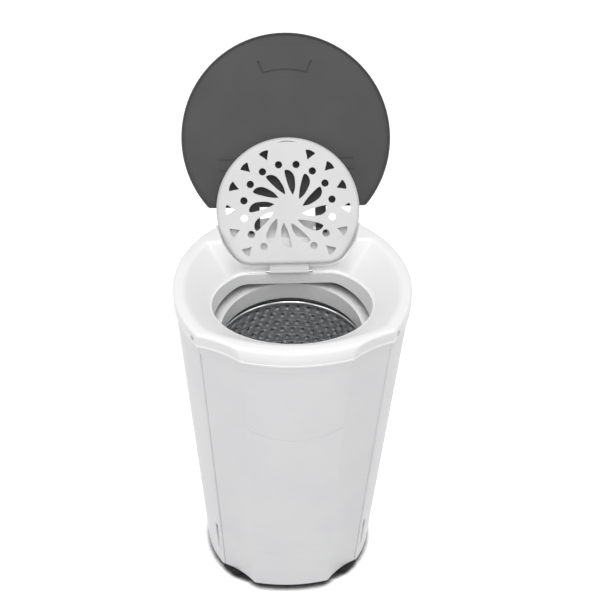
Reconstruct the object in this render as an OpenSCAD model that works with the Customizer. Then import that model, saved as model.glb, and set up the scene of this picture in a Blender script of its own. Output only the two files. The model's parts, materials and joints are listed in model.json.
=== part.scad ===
// Top-loading laundry spin dryer with a tapered casing, a sunken deck, a grey outer lid,
// a perforated inner lid and a perforated stainless basket on a suspended motor.
// Millimetres, +Z up. The origin is on the floor, under the spin axis. -Y is the front.

/* [Casing] */
// Height of the deck's rim above the floor
body_h = 680; // [660:5:720]
// Radius of the round outline at the rim
rim_r = 215; // [212:1:225]
// Radius of the round outline at the casing's bottom edge
base_r = 163; // [161:1:172]
// Distance from the spin axis to the front at the rim
front_reach_top = 182.5; // [180:0.5:190]
// Distance from the spin axis to the front at the bottom edge
front_reach_base = 154.5; // [150:0.5:156]
// Radius of the front panel's curve at the rim
front_curve_r = 335; // [310:5:380]
// Width of the front panel at the rim
panel_w_top = 200; // [188:2:210]
// Width of the front panel at the bottom edge
panel_w_base = 149; // [140:1:156]
// Angle from the front at which each hollow corner panel ends
corner_angle = 54; // [52:0.5:57]
// Depth of the hollow in each corner panel
scallop_depth = 5; // [3:0.5:7]
// Wall thickness of the casing shells
casing_t = 2.5; // [2:0.1:3]
// How far the front and corner panels are let in below their top band
panel_let_in = 2; // [1:0.25:2.5]
// Height of the band between the deck and the let-in panels
band_h = 17; // [12:1:22]
// Gap at each seam between the front and the rear shell
seam_gap = 0.5; // [0.3:0.1:0.8]
// Width of the moulded crease line on the front panel
crease_w = 2; // [1.5:0.1:3]
// Height of the crease line's lowest point above the floor
crease_z = 449; // [400:1:500]

/* [Feet] */
// Height of a foot under the casing
foot_h = 15; // [12:1:18]
// Radius of a foot
foot_r = 16; // [13:0.5:17]
// Distance of each foot from the spin axis
foot_reach = 140; // [134:1:141]
// Angle of each foot from the front or the back
foot_angle = 46; // [42:1:50]

/* [Deck] */
// Height of the deck's skirt
skirt_h = 31; // [28:1:36]
// Sheet thickness of the deck
deck_t = 2.8; // [2.4:0.1:3.2]
// Step from the deck's skirt in to the casing
skirt_step = 1.5; // [1:0.25:2]
// Height of the bead along the skirt's lower edge
bead_h = 4; // [3:0.5:6]
// Radius of the ridge round the sunken bowl
ridge_r = 194; // [192:0.5:196]
// Distance from the spin axis to the ridge's straight back
ridge_back = 121.5; // [120:0.5:123]
// Width of the rim in front of the bowl
front_rim_w = 21; // [18:1:24]
// Radius of the loading opening
mouth_r = 145; // [143:0.5:147]
// Distance from the spin axis to the opening's straight back
mouth_back = 113; // [112:0.5:114.5]
// Depth of the opening's centre below the rim
mouth_drop = 46; // [44:0.5:48]
// Tilt of the opening, higher at the front
mouth_tilt = 13.7; // [12.5:0.1:14.5]
// Depth of the opening's lower edge below the rim
wall_drop = 98; // [95:1:101]

/* [Outer lid] */
// Radius of the outer lid
lid_r = 195.5; // [194:0.5:198]
// Sheet thickness of the outer lid
lid_t = 3; // [2.4:0.1:3.5]
// Depth of the outer lid's skirt, with its sheet
lid_skirt = 8.5; // [7:0.5:10]
// Distance from the lid's centre to its straight back edge
lid_chord = 129; // [126:1:131]
// Distance from the straight back edge to the hinge axis
lid_arm = 42; // [40:1:44]
// Depth of the hinge axis below the deck's rim
lid_axis_drop = 11; // [10:0.5:12]
// Angle that the outer lid swings through
lid_swing = 130; // [120:1:130]
// Gap between the deck's rim and the closed lid's skirt
lid_rest_gap = 1; // [0.5:0.1:1.5]
// Radius of the outer lid's hinge pins
lid_pin_r = 3; // [2.5:0.1:3.2]
// Distance from the middle to the middle of each hinge arm
arm_x = 62; // [58:1:64]
// Width of each hinge arm
arm_w = 20; // [16:1:21]

/* [Inner lid] */
// Radius of the inner lid
inner_r = 133; // [130:0.5:134]
// Sheet thickness of the inner lid
inner_t = 2.5; // [2:0.1:3]
// Depth of the inner lid's skirt below its sheet
inner_skirt = 9; // [7:0.5:10]
// Width of the inner lid's straight edge from its centre
inner_chord = 102; // [100:1:104]
// Rounding of the inner lid's two back corners
inner_corner_r = 42; // [36:1:46]
// Distance from the inner lid's straight edge to its hinge axis
flap_l = 14; // [13:0.5:15]
// Distance from the spin axis to the inner lid's hinge axis
inner_axis_y = 107; // [106:0.5:108]
// Depth of the inner lid's hinge axis below the rim
inner_axis_drop = 63; // [62:0.5:64]
// Angle that the inner lid leans back from upright when open
inner_lean = 42; // [41:0.5:43]
// Radius of the inner lid's hinge pin
inner_pin_r = 2; // [1.6:0.1:2.3]

/* [Tub and ring] */
// Gap between the casing's front wall and the water tub at its flange
tub_gap_top = 9.8; // [8:0.1:12]
// Gap between the casing's front wall and the water tub at its floor
tub_gap_base = 1.28; // [1:0.01:3]
// Wall thickness of the water tub
tub_t = 2.5; // [2:0.1:2.8]
// Height of the tub's floor above the room's floor
tub_floor_z = 137; // [136:0.5:138]
// Radius of the splash ring's opening
ring_r = 130; // [128:0.5:132]
// Gap between the deck's opening wall and the splash ring's top lip
ring_gap = 16; // [12:0.5:20]
// Height of the splash ring's top lip above the tub's flange
ring_rise = 17; // [14:0.5:20]
// Height of the splash ring between its two lips
ring_h = 41; // [36:1:44]
// Outer radius of the drain spout
spout_r = 11; // [9:0.5:12]
// Bore radius of the drain spout
spout_bore_r = 8; // [6:0.5:9]
// Length of the drain spout outside the casing
spout_out = 32; // [24:1:40]

/* [Basket] */
// Running gap between the basket and the water tub at the basket's rim
basket_gap_top = 12; // [10:0.5:14]
// Running gap between the basket and the water tub at the basket's floor
basket_gap_base = 9; // [7:0.5:12]
// Height of the basket's floor above the room's floor
basket_floor_z = 158; // [156:1:162]
// Gap between the splash ring's lower lip and the basket's rim
basket_drop = 15; // [12:0.5:20]
// Sheet thickness of the basket
basket_t = 1.2; // [1:0.1:1.6]
// Radius of a drain hole in the basket
hole_r = 3; // [2:0.25:4]
// Rows of drain holes
hole_rows = 6; // [4:1:8]
// Holes in a row
holes_per_row = 18; // [12:2:24]

/* [Drive] */
// Radius of the drive shaft
shaft_r = 8.5; // [7.5:0.1:9]
// Radius of the motor's casing
motor_r = 58; // [55:0.5:62]
// Height of the stator pack
stator_h = 50; // [44:1:54]
// Height of the motor plate above the room's floor
plate_z = 36; // [35:0.5:38]
// Distance of each rubber mount from the spin axis
mount_reach = 84; // [80:1:90]

/* [Hidden] */

round_fn = 96;
hull_fn = 32;
eps = 0.01;
far = 400;
pin_clearance = 0.06;
shaft_clearance = 0.05;
seat_gap = 0.3;
// The leaning cones run this far past what they cut, so that their leaning ends stay clear
cone_overrun = 40;
white = "whitesmoke";
steel = "silver";

base_t = 3;
base_top_z = foot_h + base_t;
lip_z = body_h - skirt_h;
panel_top_z = lip_z - band_h;
front_axis_y = front_curve_r - front_reach_top;
casing_inset = skirt_step + casing_t;

// Straight tapers between the bottom edge and the rim
function rise(z) = (z - foot_h) / (body_h - foot_h);
function side_r(z) = base_r + (rim_r - base_r) * rise(z);
function front_r(z) = front_axis_y + front_reach_base + (front_reach_top - front_reach_base) * rise(z);
function panel_w(z) = panel_w_base + (panel_w_top - panel_w_base) * rise(z);
function inner_corner(z) =
    [panel_w(z) / 2, front_axis_y - sqrt(pow(front_r(z), 2) - pow(panel_w(z) / 2, 2))];
function outer_corner(z) = side_r(z) * [sin(corner_angle), -cos(corner_angle)];
function fitted_r(z) =
    let (chord = norm(outer_corner(z) - inner_corner(z)))
    (pow(chord / 2, 2) + pow(scallop_depth, 2)) / (2 * scallop_depth);
function fitted_axis(z) =
    let (a = inner_corner(z), b = outer_corner(z), along = (b - a) / norm(b - a))
    (a + b) / 2 + [along[1], -along[0]] * (fitted_r(z) - scallop_depth);

// Both are fitted at the bottom edge and the rim, and straight between them
function between(low, high, z) = low + (high - low) * rise(z);
function scallop_r(z) = between(fitted_r(foot_h), fitted_r(body_h), z);
function scallop_axis(z) = between(fitted_axis(foot_h), fitted_axis(body_h), z);

// Outline of a disc with a straight back at y = back and rounded back corners
function d_points(r, back, corner, n = 44, m = 7) =
    let (cy = back - corner, cx = sqrt(pow(r - corner, 2) - cy * cy), a = atan2(cy, cx))
    concat(
        [for (i = [0:n]) let (t = a - i * (180 + 2 * a) / n) r * [cos(t), sin(t)]],
        [for (i = [1:m]) let (t = 180 - a - i * (90 - a) / m) [-cx, cy] + corner * [cos(t), sin(t)]],
        [for (i = [0:m - 1]) let (t = 90 - i * (90 - a) / m) [cx, cy] + corner * [cos(t), sin(t)]]
    );

module tilted_cone(p, q, r1, r2) {
    v = q - p;
    translate(p)
        rotate([0, acos(v[2] / norm(v)), atan2(v[1], v[0])])
            cylinder(h = norm(v), r1 = r1, r2 = r2, $fn = round_fn);
}

// The casing's plan form: a round taper with a curved front and two hollow corner panels
module outline(z0, z1, inset = 0, let_in = 0) {
    low = z0 - cone_overrun;
    high = z1 + cone_overrun;
    difference() {
        intersection() {
            translate([0, 0, z0])
                cylinder(h = z1 - z0, r1 = side_r(z0) - inset, r2 = side_r(z1) - inset,
                         $fn = round_fn);
            translate([0, front_axis_y, z0])
                cylinder(h = z1 - z0, r1 = front_r(z0) - inset - let_in,
                         r2 = front_r(z1) - inset - let_in, $fn = round_fn);
        }
        for (side = [-1, 1])
            tilted_cone([side * scallop_axis(low)[0], scallop_axis(low)[1], low],
                        [side * scallop_axis(high)[0], scallop_axis(high)[1], high],
                        scallop_r(low) + inset + let_in, scallop_r(high) + inset + let_in);
    }
}

module outline_shell(z0, z1, inset, thickness, let_in = 0) {
    difference() {
        outline(z0, z1, inset, let_in);
        outline(z0 - 1, z1 + 1, inset + thickness, let_in);
    }
}

// The sector in front, as far as the seams
module front_sector(z0, z1, gap) {
    shift = gap / 2 / sin(corner_angle);
    translate([0, -shift, z0])
        linear_extrude(z1 - z0)
            polygon([[0, 0], far * [-sin(corner_angle), -cos(corner_angle)],
                     far * [sin(corner_angle), -cos(corner_angle)]]);
}

/* Casing */
ledge_h = 4;
ledge_w = 7;

module front_walls() {
    outline_shell(base_top_z, panel_top_z + 5, skirt_step, casing_t, panel_let_in);
    outline_shell(panel_top_z, lip_z, skirt_step, casing_t + panel_let_in + 1);
    outline_shell(flange_z - ledge_h, flange_z, casing_inset - 1, ledge_w, panel_let_in);
}

module rear_walls() {
    outline_shell(base_top_z, lip_z, skirt_step, casing_t);
    outline_shell(flange_z - ledge_h, flange_z, casing_inset - 1, ledge_w);
}

crease_half = 90;
crease_rise = 26;
crease_r = (pow(crease_half, 2) + pow(crease_rise, 2)) / (2 * crease_rise);
crease_depth = 0.8;

// A shallow arc line in the front panel, low in the middle
module crease() {
    reach = front_r(crease_z) - front_axis_y;
    intersection() {
        translate([0, -reach + 30, crease_z + crease_r])
            rotate([90, 0, 0])
                difference() {
                    cylinder(h = 60, r = crease_r, $fn = round_fn);
                    translate([0, 0, -1])
                        cylinder(h = 62, r = crease_r - crease_w, $fn = round_fn);
                }
        translate([-crease_half, -far, crease_z - 10])
            cube([2 * crease_half, far, crease_rise + 10]);
        difference() {
            outline(crease_z - 20, crease_z + 60, 0, 0);
            outline(crease_z - 21, crease_z + 61, skirt_step + crease_depth, panel_let_in);
        }
    }
}

module front_shell() {
    color(white)
        difference() {
            union() {
                intersection() {
                    front_walls();
                    front_sector(0, body_h, seam_gap);
                }
                front_screw_place()
                    screw_boss();
            }
            front_screw_place()
                cylinder(h = screw_top_z, r = screw_r, $fn = round_fn);
            crease();
        }
}

recess_w = 9;
recess_h = 74;
recess_z = 60;
recess_depth = 5;
grommet_angle = 20;
grommet_z = 60;
grommet_r = 8;
spout_z = 152;

// A tall shallow recess at the foot of each cheek, moulded as a pocket in the rear shell
module cheek_place(side) {
    rotate([0, 0, side * (corner_angle + 4.5)])
        translate([0, -side_r(recess_z + recess_h / 2), recess_z])
            children();
}

module rear_shell() {
    color(white)
        difference() {
            union() {
                difference() {
                    rear_walls();
                    front_sector(0, body_h, -seam_gap);
                }
                rear_screw_place()
                    screw_boss();
                deck_screw_place()
                    translate([-tab_w / 2, tab_face - tab_t, -tab_drop])
                        cube([tab_w, tab_t, tab_drop + screw_head_r * 2]);
                for (side = [-1, 1])
                    cheek_place(side)
                        translate([-recess_w / 2 - casing_t, casing_t + skirt_step, -casing_t])
                            cube([recess_w + 2 * casing_t, recess_depth,
                                  recess_h + 2 * casing_t]);
            }
            for (side = [-1, 1])
                cheek_place(side)
                    translate([-recess_w / 2, -10, 0])
                        cube([recess_w, 10 + skirt_step + recess_depth, recess_h]);
            translate([0, 0, spout_z])
                rotate([-90, 0, 0])
                    cylinder(h = far, r = spout_r + 1, $fn = round_fn);
            grommet_place(-grommet_l)
                cylinder(h = 3 * grommet_l, r = grommet_r, $fn = round_fn);
            rear_screw_place()
                cylinder(h = screw_top_z, r = screw_r, $fn = round_fn);
            deck_screw_place()
                rotate([90, 0, 0])
                    cylinder(h = deck_screw_l, r = screw_r, $fn = round_fn);
        }
}

base_rim_h = 8;
base_rim_r = foot_reach - 11;

module foot_place() {
    for (front = [-1, 1], side = [-1, 1])
        translate([side * foot_reach * sin(foot_angle), front * foot_reach * cos(foot_angle), 0])
            children();
}

post_r = 13;
post_top_z = 25;
mount_h = plate_z - post_top_z;

module mount_place() {
    for (i = [0:2])
        rotate([0, 0, 90 + i * 120])
            translate([mount_reach, 0, 0])
                children();
}

cap_r = 18;
cap_h = 62;
cap_x = 108;
cap_y = 52;

module base_plate() {
    color(white)
        difference() {
            union() {
                outline(foot_h, base_top_z, skirt_step, panel_let_in);
                translate([0, 0, base_top_z - 1])
                    difference() {
                        cylinder(h = base_rim_h + 1, r = base_rim_r, $fn = round_fn);
                        translate([0, 0, -1])
                            cylinder(h = base_rim_h + 3, r = base_rim_r - casing_t,
                                     $fn = round_fn);
                    }
                mount_place()
                    translate([0, 0, base_top_z - 1])
                        cylinder(h = post_top_z - base_top_z + 1, r = post_r, $fn = round_fn);
                translate([cap_x, cap_y, base_top_z - 1])
                    cylinder(h = 12, r = cap_r + 2.5, $fn = round_fn);
            }
            translate([cap_x, cap_y, base_top_z])
                cylinder(h = 20, r = cap_r + eps, $fn = round_fn);
            foot_place() {
                cylinder(h = base_top_z + 1, r = foot_peg_r, $fn = round_fn);
                translate([0, 0, base_top_z])
                    cylinder(h = base_rim_h + 1, r = foot_peg_r + 2, $fn = round_fn);
            }
            screw_place() {
                cylinder(h = base_top_z + 1, r = screw_r, $fn = round_fn);
                translate([0, 0, base_top_z])
                    cylinder(h = base_rim_h + 1, r = screw_boss_r + seat_gap, $fn = round_fn);
            }
            for (i = [0:5])
                rotate([0, 0, i * 60])
                    translate([52, 0, foot_h - 1])
                        cylinder(h = base_t + 2, r = 7, $fn = round_fn);
        }
}

foot_peg_r = 4;

// A rubber foot with a rounded edge and a peg through the base plate
module foot(front, side) {
    color("black")
        translate([side * foot_reach * sin(foot_angle), front * foot_reach * cos(foot_angle), 0])
            rotate_extrude($fn = round_fn)
                polygon(concat(
                    [[0, 0], [foot_r - 3, 0]],
                    [for (a = [-60:30:0]) [foot_r - 3 + 3 * cos(a), 3 + 3 * sin(a)]],
                    [[foot_r, foot_h - 4], [foot_r + 1.5, foot_h], [foot_peg_r, foot_h],
                     [foot_peg_r, base_top_z + 1], [foot_peg_r + 1, base_top_z + 1.5],
                     [foot_peg_r - 1, base_top_z + 4], [0, base_top_z + 4]]));
}

/* Screws */
screw_r = 2;
screw_head_r = 4;
screw_head_h = 2.2;
screw_boss_r = 5.5;
screw_boss_h = 22;
screw_top_z = base_top_z + screw_boss_h - 4;
deck_screw_l = 9;
deck_screw_z = lip_z + 13;
deck_screw_angles = [58, 148];
tab_w = 14;
tab_t = 3.2;
tab_drop = 34;
// The tab's outer face stays clear of the skirt where the skirt is narrowest
tab_face = side_r(lip_z) - side_r(deck_screw_z) - casing_t - seat_gap;
head_sink = 1.4;
rear_screw_inset = 8.6;
front_screw_x = 43;

module rear_screw_place() {
    for (a = [72, 107, 165], side = [-1, 1])
        rotate([0, 0, side * a])
            translate([0, rear_screw_inset - side_r(base_top_z), 0])
                children();
}

module front_screw_place() {
    reach = front_r(base_top_z) - panel_let_in - rear_screw_inset;
    for (side = [-1, 1])
        translate([side * front_screw_x, front_axis_y - sqrt(reach * reach - pow(front_screw_x, 2)),
                   0])
            children();
}

module screw_place() {
    rear_screw_place()
        children();
    front_screw_place()
        children();
}

module screw_boss() {
    translate([0, 0, base_top_z])
        cylinder(h = screw_boss_h, r = screw_boss_r, $fn = round_fn);
}

// On the skirt's outer face, with +Y pointing out
module deck_screw_place() {
    for (a = deck_screw_angles, side = [-1, 1])
        rotate([0, 0, 180 + side * a])
            translate([0, side_r(deck_screw_z), deck_screw_z])
                children();
}

module base_screws() {
    color(steel)
        screw_place() {
            translate([0, 0, foot_h - screw_head_h])
                cylinder(h = screw_head_h, r = screw_head_r, $fn = round_fn);
            translate([0, 0, foot_h - 1])
                cylinder(h = screw_top_z - foot_h + 1, r = screw_r, $fn = round_fn);
        }
}

module deck_screws() {
    color(steel)
        deck_screw_place()
            rotate([90, 0, 0])
                translate([0, 0, head_sink - screw_head_h]) {
                    cylinder(h = screw_head_h, r = screw_head_r, $fn = round_fn);
                    cylinder(h = screw_head_h + deck_screw_l - head_sink, r = screw_r,
                             $fn = round_fn);
                }
}

/* Deck */
slab_t = 1;
mouth_edge = 0.6;
mouth_z = body_h - mouth_drop;
wall_low_z = body_h - wall_drop;
rim_lean = 6;
rim_shoulder_h = 18;
mouth_corner_r = 40;
ridge_corner_r = 12;
lid_axis_y = ridge_back + 3.5 + lid_arm;
lid_axis_z = body_h - lid_axis_drop;
inner_axis_z = body_h - inner_axis_drop;
inner_open = 90 - inner_lean;
inner_swing = 180 - mouth_tilt - inner_open;
bay_clearance = 3;
sweep_clearance = 1;
sweep_angle = 60;
well_half = 95;
well_floor_z = lid_axis_z - 8;
well_front_y = lid_axis_y - 17;
ear_t = 5;
ear_gap = 1;
ear_r = lid_pin_r + 3.5;
inner_barrel_r = inner_pin_r + 2.5;
inner_barrel_half = 36.9;
inner_ear_t = 6;
inner_ear_gap = 0.6;

// Plan of the ridge: round, straight at the back and following the front rim
module ridge_plan(grow) {
    intersection() {
        polygon(d_points(ridge_r + grow, ridge_back + grow, ridge_corner_r));
        translate([0, front_axis_y])
            circle(r = front_r(body_h) - rim_lean - front_rim_w + grow, $fn = 2 * round_fn);
    }
}

module mouth_plane() {
    translate([0, 0, mouth_z])
        rotate([-mouth_tilt, 0, 0])
            children();
}

// The mouth in its own tilted plane
function mouth_points(grow) =
    d_points(mouth_r + grow, mouth_back / cos(mouth_tilt) + grow, mouth_corner_r);

// The bowl between the ridge and the tilted mouth, a little wider than the wall below
module bowl(grow, lift) {
    hull() {
        translate([0, 0, body_h + lift - slab_t])
            linear_extrude(slab_t)
                ridge_plan(grow);
        mouth_plane()
            linear_extrude(slab_t)
                polygon(mouth_points(grow + mouth_edge));
    }
}

// The upright wall under the mouth, which has the tilted mouth's plan
module mouth_wall(grow, z0, z1) {
    translate([0, 0, z0])
        linear_extrude(z1 - z0)
            polygon([for (p = mouth_points(grow)) [p[0], p[1] * cos(mouth_tilt)]]);
}

module below_mouth() {
    mouth_plane()
        translate([-far, -far, slab_t / 2 - far])
            cube([2 * far, 2 * far, far]);
}

// The casing's outline with its front edge leaning in below the rim
module rim_form(z0, z1, inset) {
    shoulder_z = body_h - rim_shoulder_h;
    lean = (front_r(shoulder_z) - front_r(body_h) + rim_lean) / rim_shoulder_h;
    low = shoulder_z - 4;
    high = body_h + 1;
    intersection() {
        outline(z0, z1, inset);
        union() {
            translate([0, 0, z0 - 1])
                cylinder(h = low + 2 - z0 + 1, r = far, $fn = round_fn);
            translate([0, front_axis_y, low])
                cylinder(h = high - low, r1 = front_r(shoulder_z) - inset + 4 * lean,
                         r2 = front_r(body_h) - rim_lean - inset - lean, $fn = round_fn);
        }
    }
}

// The inner lid's own frame: +Y from the hinge axis to its free edge, +Z out of its underside
module inner_frame(angle) {
    translate([0, inner_axis_y, inner_axis_z])
        rotate([angle, 0, 0])
            children();
}

inner_centre = flap_l + inner_chord;

module inner_plan(grow) {
    translate([0, inner_centre])
        rotate(180)
            polygon(d_points(inner_r + grow, inner_chord + grow, inner_corner_r));
}

// The bay in which the open inner lid leans back
module bay(grow, back) {
    inner_frame(inner_open)
        translate([0, 0, -inner_t / 2 - back])
            linear_extrude(90 + back)
                inner_plan(grow);
}

// The way that the inner lid sweeps as it leaves its bay
module inner_sweep(grow) {
    inner_frame(inner_open)
        rotate([90, 0, 90])
            rotate_extrude(angle = sweep_angle, $fn = round_fn)
                intersection() {
                    rotate(-90)
                        inner_plan(grow);
                    translate([1, -far])
                        square([far, 2 * far]);
                }
}

module well(grow, z_top) {
    translate([-well_half - grow, well_front_y - grow, well_floor_z - grow])
        cube([2 * (well_half + grow), far, z_top - well_floor_z + grow]);
}

module deck_ears() {
    for (side = [-1, 1], inner = [-1, 1])
        translate([side * arm_x + inner * (arm_w / 2 + ear_gap + ear_t / 2), lid_axis_y, 0])
            difference() {
                translate([-ear_t / 2, 0, 0])
                    union() {
                        translate([0, 0, lid_axis_z])
                            rotate([0, 90, 0])
                                cylinder(h = ear_t, r = ear_r, $fn = round_fn);
                        translate([0, -ear_r, well_floor_z - 1])
                            cube([ear_t, 2 * ear_r, lid_axis_z - well_floor_z + 1]);
                    }
                translate([-ear_t, 0, lid_axis_z])
                    rotate([0, 90, 0])
                        cylinder(h = 2 * ear_t, r = lid_pin_r, $fn = round_fn);
            }
    for (side = [-1, 1])
        translate([side * (inner_barrel_half + inner_ear_gap + inner_ear_t / 2) - inner_ear_t / 2,
                   inner_axis_y, inner_axis_z])
            difference() {
                union() {
                    rotate([0, 90, 0])
                        cylinder(h = inner_ear_t, r = inner_barrel_r, $fn = round_fn);
                    translate([0, 0, -inner_barrel_r])
                        cube([inner_ear_t, mouth_back + 3 - inner_axis_y + 2,
                              inner_barrel_r + 1.5]);
                }
                translate([-1, 0, 0])
                    rotate([0, 90, 0])
                        cylinder(h = inner_ear_t + 2, r = inner_pin_r, $fn = round_fn);
            }
}

module deck_solid() {
    difference() {
        rim_form(lip_z, body_h, 0);
        rim_form(lip_z - 1, body_h - deck_t, casing_t);
    }
    outline_shell(lip_z, lip_z + bead_h, -1, casing_t);
    bowl(deck_t, 0);
    intersection() {
        mouth_wall(deck_t, wall_low_z, body_h - deck_t / 2);
        below_mouth();
    }
    intersection() {
        union() {
            bay(bay_clearance + deck_t, bay_clearance + deck_t);
            well(deck_t, body_h);
        }
        union() {
            rim_form(lip_z + 1, body_h, casing_t - 1);
            translate([0, 0, wall_low_z])
                cylinder(h = lip_z + 2 - wall_low_z, r = ridge_r, $fn = round_fn);
        }
    }
}

module top_deck() {
    color(white) {
        difference() {
            deck_solid();
            bowl(0, 1);
            mouth_wall(0, wall_low_z - 1, body_h + 1);
            bay(bay_clearance, bay_clearance);
            inner_sweep(sweep_clearance);
            well(0, body_h + 1);
            deck_screw_place()
                rotate([90, 0, 0]) {
                    translate([0, 0, -3])
                        cylinder(h = 3 + head_sink, r = screw_head_r + 0.3, $fn = round_fn);
                    cylinder(h = deck_screw_l, r = screw_r, $fn = round_fn);
                }
        }
        deck_ears();
    }
}

/* Outer lid */
// The outer lid's own frame, like the inner one's
module lid_frame(angle) {
    translate([0, lid_axis_y, lid_axis_z])
        rotate([angle, 0, 0])
            children();
}

lid_under = -(lid_axis_drop + lid_rest_gap + lid_skirt - lid_t);
lid_centre = lid_arm + lid_chord;
lid_corner_r = 8;
lid_wall = 2.5;
rib_w = 2;
rib_h = 2.5;
pocket_h = 5;

module lid_plan(grow) {
    translate([0, lid_centre])
        rotate(180)
            polygon(d_points(lid_r + grow, lid_chord + grow, lid_corner_r, 72));
}

module lid_arm_profile() {
    polygon([[-ear_r, 0], [-2, -ear_r - 1], [30, lid_under - lid_t], [lid_arm + 1, lid_under - lid_t],
             [lid_arm + 1, lid_under], [lid_arm + 20, lid_under], [lid_arm + 20, lid_under + 3.5],
             [lid_arm - 2, lid_under + 7.5], [ear_r, 0]]);
}

// A shallow arched finger pocket, seen as a bulge on the underside
module lid_pocket(grow) {
    top = lid_centre + lid_r - 52;
    points = [[-48, top + 20], [-40, top + 3], [-24, top - 2], [0, top - 4], [24, top - 2],
              [40, top + 3], [48, top + 20], [0, top + 24]];
    translate([0, 0, lid_under - lid_t])
        linear_extrude(lid_t + pocket_h)
            offset(delta = grow)
                polygon(points);
}

module outer_lid() {
    color("dimgray")
        lid_frame(180 - lid_swing)
            difference() {
                union() {
                    translate([0, 0, lid_under - lid_t])
                        linear_extrude(lid_t)
                            lid_plan(0);
                    translate([0, 0, lid_under - lid_t])
                        linear_extrude(lid_skirt)
                            difference() {
                                lid_plan(0);
                                lid_plan(-lid_wall);
                            }
                    for (side = [-1, 1])
                        translate([side * arm_x - arm_w / 2, 0, 0]) {
                            rotate([90, 0, 90])
                                linear_extrude(arm_w)
                                    lid_arm_profile();
                            rotate([0, 90, 0])
                                cylinder(h = arm_w, r = ear_r - 0.5, $fn = round_fn);
                        }
                    for (i = [0:3])
                        translate([-126, lid_arm + 30 + i * 20, lid_under - eps])
                            cube([252, rib_w, rib_h + eps]);
                    lid_pocket(0);
                }
                translate([0, 0, -lid_t])
                    lid_pocket(-2.5);
                translate([-far, 0, 0])
                    rotate([0, 90, 0])
                        cylinder(h = 2 * far, r = lid_pin_r + pin_clearance, $fn = round_fn);
            }
}

module outer_lid_pins() {
    color(steel)
        for (side = [-1, 1])
            translate([side * arm_x - arm_w / 2 - ear_gap - ear_t, lid_axis_y, lid_axis_z])
                rotate([0, 90, 0])
                    cylinder(h = arm_w + 2 * (ear_gap + ear_t), r = lid_pin_r, $fn = round_fn);
}

/* Inner lid */
petal_count = 12;
dot_ring = 0.627;
dot_r = 0.051;
wedge_in = 0.736;
wedge_out = 0.86;
wedge_half = 4.5;

// One swirl petal, as turn from straight up and distance from the centre in lid radii
petal_points = [[-4.3, 0.533], [3.5, 0.53], [10.7, 0.475], [15.6, 0.386], [19.8, 0.293],
                [19.7, 0.203], [7, 0.261], [-1.2, 0.371]];

function turned(a, r) = [r * sin(a), r * cos(a)];

module inner_holes() {
    translate([0, inner_centre]) {
        for (i = [0:petal_count - 1])
            rotate(-i * 360 / petal_count)
                polygon([for (p = petal_points) turned(p[0], p[1] * inner_r)]);
        for (i = [0:15])
            if (i != 7 && i != 8)
                rotate(-11.25 - i * 22.5)
                    translate([0, dot_ring * inner_r])
                        circle(r = dot_r * inner_r, $fn = 24);
        for (a = [-135, -112.5, -90, -67.5, -45, -22.5, 22.5, 45, 67.5, 90, 112.5, 135])
            rotate(-a)
                polygon([turned(0, wedge_in * inner_r), turned(-wedge_half, wedge_out * inner_r),
                         turned(0, (wedge_out + 0.012) * inner_r),
                         turned(wedge_half, wedge_out * inner_r)]);
    }
}

module inner_lid() {
    color(white)
        inner_frame(inner_open)
            difference() {
                union() {
                    translate([0, 0, -inner_t / 2])
                        linear_extrude(inner_t)
                            difference() {
                                union() {
                                    inner_plan(0);
                                    translate([-inner_barrel_half, 0])
                                        square([2 * inner_barrel_half, flap_l + 2]);
                                }
                                inner_holes();
                            }
                    translate([0, 0, -inner_t / 2])
                        linear_extrude(inner_t + inner_skirt)
                            difference() {
                                inner_plan(0);
                                inner_plan(-inner_t);
                            }
                    translate([-inner_barrel_half, 0, 0])
                        rotate([0, 90, 0])
                            cylinder(h = 2 * inner_barrel_half, r = inner_barrel_r,
                                     $fn = round_fn);
                }
                translate([-far, 0, 0])
                    rotate([0, 90, 0])
                        cylinder(h = 2 * far, r = inner_pin_r + pin_clearance, $fn = round_fn);
            }
}

module inner_lid_pin() {
    half = inner_barrel_half + inner_ear_gap + inner_ear_t;
    color(steel)
        translate([-half, inner_axis_y, inner_axis_z])
            rotate([0, 90, 0])
                cylinder(h = 2 * half, r = inner_pin_r, $fn = round_fn);
}

/* Tub, ring and outlets */
ring_top_z = wall_low_z - ring_gap;
ring_low_z = ring_top_z - ring_h;
flange_z = ring_top_z - ring_rise;
basket_top_z = ring_low_z - basket_drop;

// Inside the casing's front wall, with the tub's own wall and a gap between them
function tub_fit(z, gap) =
    front_r(z) - front_axis_y - casing_inset - panel_let_in - tub_t - gap;
tub_r_top = tub_fit(flange_z, tub_gap_top);
tub_r_base = tub_fit(tub_floor_z, tub_gap_base);
basket_r_top = tub_r_top - basket_gap_top;
basket_r_base = tub_r_base - basket_gap_base;

flange_t = 3;
flange_top_z = flange_z + flange_t;
tub_hole_r = 34;
socket_y = tub_r_base + 4;
socket_l = 10;
collar_t = 3;
grommet_l = 12;
grommet_bore_r = 3.6;

module grommet_place(d) {
    rotate([0, 0, grommet_angle])
        translate([0, side_r(grommet_z) + d, grommet_z])
            rotate([-90, 0, 0])
                children();
}

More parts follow.
